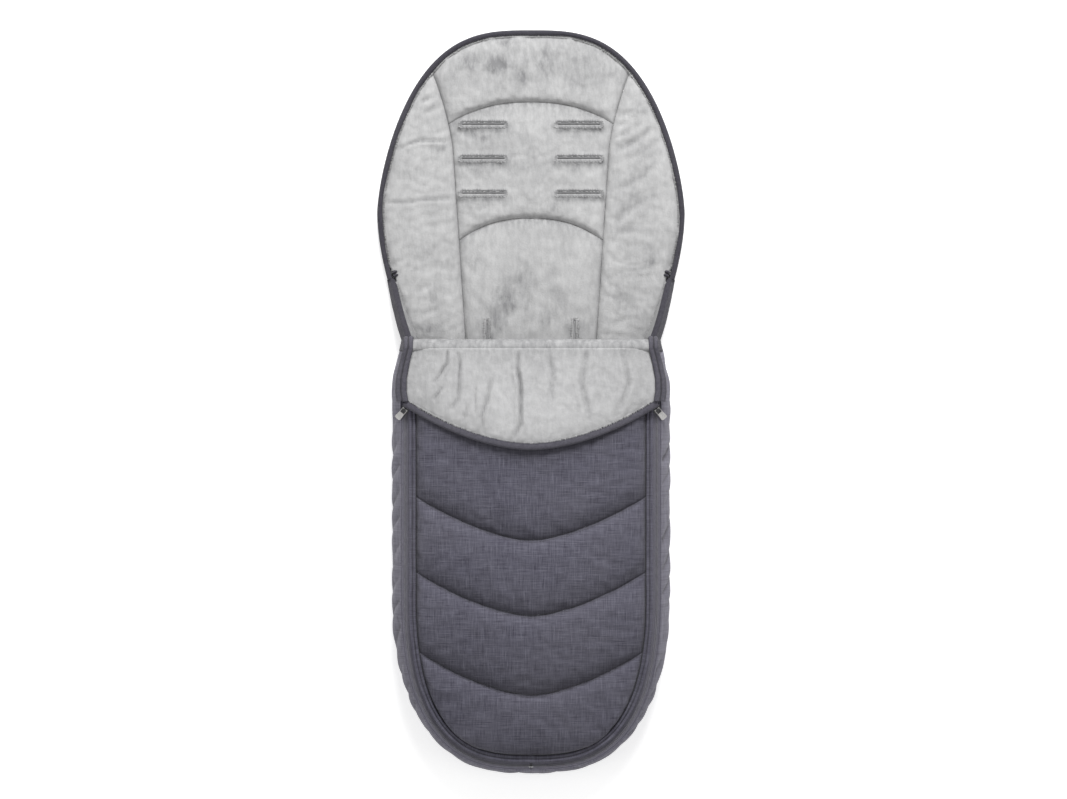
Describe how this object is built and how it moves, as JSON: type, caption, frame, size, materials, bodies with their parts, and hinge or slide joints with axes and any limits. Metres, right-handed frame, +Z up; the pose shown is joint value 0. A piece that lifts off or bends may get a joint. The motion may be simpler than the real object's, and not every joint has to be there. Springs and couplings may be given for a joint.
{
  "type": "stroller footmuff",
  "caption": "Padded stroller footmuff on its back: plush liner with harness slots, quilted apron zipped on both sides, its top folded down, with pull tabs.",
  "frame": {"origin": "under the middle of the outline, on the surface that the back lies on", "axes": "+Y to the head end, +X to the right as seen from above with the head up, +Z up off the surface through the layers"},
  "size_m": [0.415, 0.9999, 0.1067],
  "materials": {
    "back_shell": "woven melange cloth, matt",
    "back_wadding": "polyester wadding",
    "liner_head_panel": "short-pile plush, matt",
    "liner_chest_panel": "short-pile plush, matt",
    "liner_seat_panel": "short-pile plush, matt",
    "liner_side_left": "short-pile plush, matt",
    "liner_side_right": "short-pile plush, matt",
    "back_binding": "twill tape, matt",
    "gusset_shell": "woven melange cloth, matt",
    "gusset_lining": "short-pile plush, matt",
    "chest_slot_left_1": "twill tape, matt",
    "chest_slot_left_2": "twill tape, matt",
    "chest_slot_left_3": "twill tape, matt",
    "chest_slot_right_1": "twill tape, matt",
    "chest_slot_right_2": "twill tape, matt",
    "chest_slot_right_3": "twill tape, matt",
    "seat_slot_left": "twill tape, matt",
    "seat_slot_right": "twill tape, matt",
    "zip_teeth_gusset_left": "twill tape, matt",
    "zip_tape_gusset_left": "twill tape, matt",
    "tape_end_left": "twill tape, matt",
    "zip_stop_left": "nickel-plated, satin",
    "zip_teeth_gusset_right": "twill tape, matt",
    "zip_tape_gusset_right": "twill tape, matt",
    "tape_end_right": "twill tape, matt",
    "zip_stop_right": "nickel-plated, satin",
    "apron_lining": "short-pile plush, matt",
    "apron_wadding": "polyester wadding",
    "apron_panel_1": "woven melange cloth, matt",
    "apron_panel_2": "woven melange cloth, matt",
    "apron_panel_3": "woven melange cloth, matt",
    "apron_panel_4": "woven melange cloth, matt",
    "apron_band": "woven melange cloth, matt",
    "zip_teeth_apron_left": "twill tape, matt",
    "zip_tape_apron_left": "twill tape, matt",
    "zip_teeth_apron_right": "twill tape, matt",
    "zip_tape_apron_right": "twill tape, matt",
    "flap_shell": "woven melange cloth, matt",
    "flap_wadding": "polyester wadding",
    "flap_lining": "short-pile plush, matt",
    "flap_hem_binding": "twill tape, matt",
    "fold_edge": "short-pile plush, matt",
    "zip_tape_flap_left": "twill tape, matt",
    "zip_tape_flap_right": "twill tape, matt",
    "slider_left": "nickel-plated, satin",
    "slider_right": "nickel-plated, satin",
    "pull_left": "nickel-plated, satin",
    "pull_right": "nickel-plated, satin"
  },
  "bodies": {
    "back": {"back_shell": "back_shell", "back_wadding": "back_wadding", "liner_head_panel": "liner_head_panel", "liner_chest_panel": "liner_chest_panel", "liner_seat_panel": "liner_seat_panel", "liner_side_left": "liner_side_left", "liner_side_right": "liner_side_right", "back_binding": "back_binding", "gusset_shell": "gusset_shell", "gusset_lining": "gusset_lining", "chest_slot_left_1": "chest_slot_left_1", "chest_slot_left_2": "chest_slot_left_2", "chest_slot_left_3": "chest_slot_left_3", "chest_slot_right_1": "chest_slot_right_1", "chest_slot_right_2": "chest_slot_right_2", "chest_slot_right_3": "chest_slot_right_3", "seat_slot_left": "seat_slot_left", "seat_slot_right": "seat_slot_right", "zip_teeth_gusset_left": "zip_teeth_gusset_left", "zip_tape_gusset_left": "zip_tape_gusset_left", "tape_end_left": "tape_end_left", "zip_stop_left": "zip_stop_left", "zip_teeth_gusset_right": "zip_teeth_gusset_right", "zip_tape_gusset_right": "zip_tape_gusset_right", "tape_end_right": "tape_end_right", "zip_stop_right": "zip_stop_right"},
    "apron": {"apron_lining": "apron_lining", "apron_wadding": "apron_wadding", "apron_panel_1": "apron_panel_1", "apron_panel_2": "apron_panel_2", "apron_panel_3": "apron_panel_3", "apron_panel_4": "apron_panel_4", "apron_band": "apron_band", "zip_teeth_apron_left": "zip_teeth_apron_left", "zip_tape_apron_left": "zip_tape_apron_left", "zip_teeth_apron_right": "zip_teeth_apron_right", "zip_tape_apron_right": "zip_tape_apron_right"},
    "flap": {"flap_shell": "flap_shell", "flap_wadding": "flap_wadding", "flap_lining": "flap_lining", "flap_hem_binding": "flap_hem_binding", "fold_edge": "fold_edge", "zip_tape_flap_left": "zip_tape_flap_left", "zip_tape_flap_right": "zip_tape_flap_right"},
    "slider_left": {"slider_left": "slider_left"},
    "slider_right": {"slider_right": "slider_right"},
    "pull_left": {"pull_left": "pull_left"},
    "pull_right": {"pull_right": "pull_right"}
  },
  "joints": [
    {"name": "apron_lift", "type": "hinge", "parent": "back", "child": "apron", "pos_m": [0, -0.497, 0.0596], "axis": [1, 0, 0], "range_deg": [0, 165]},
    {"name": "flap_fold", "type": "hinge", "parent": "apron", "child": "flap", "pos_m": [0, 0.0695, 0.072], "axis": [-1, 0, 0], "range_deg": [0, 180]},
    {"name": "slider_left_run", "type": "slide", "parent": "back", "child": "slider_left", "axis": [0, -1, 0], "range_m": [0, 0.245]},
    {"name": "slider_right_run", "type": "slide", "parent": "back", "child": "slider_right", "axis": [0, -1, 0], "range_m": [0, 0.245]},
    {"name": "pull_left_swing", "type": "hinge", "parent": "slider_left", "child": "pull_left", "pos_m": [-0.167, -0.0115, 0.0693], "axis": [-0.7604, 0.6494, 0], "range_deg": [0, 90]},
    {"name": "pull_right_swing", "type": "hinge", "parent": "slider_right", "child": "pull_right", "pos_m": [0.167, -0.0115, 0.0693], "axis": [-0.7604, -0.6494, 0], "range_deg": [0, 90]}
  ]
}
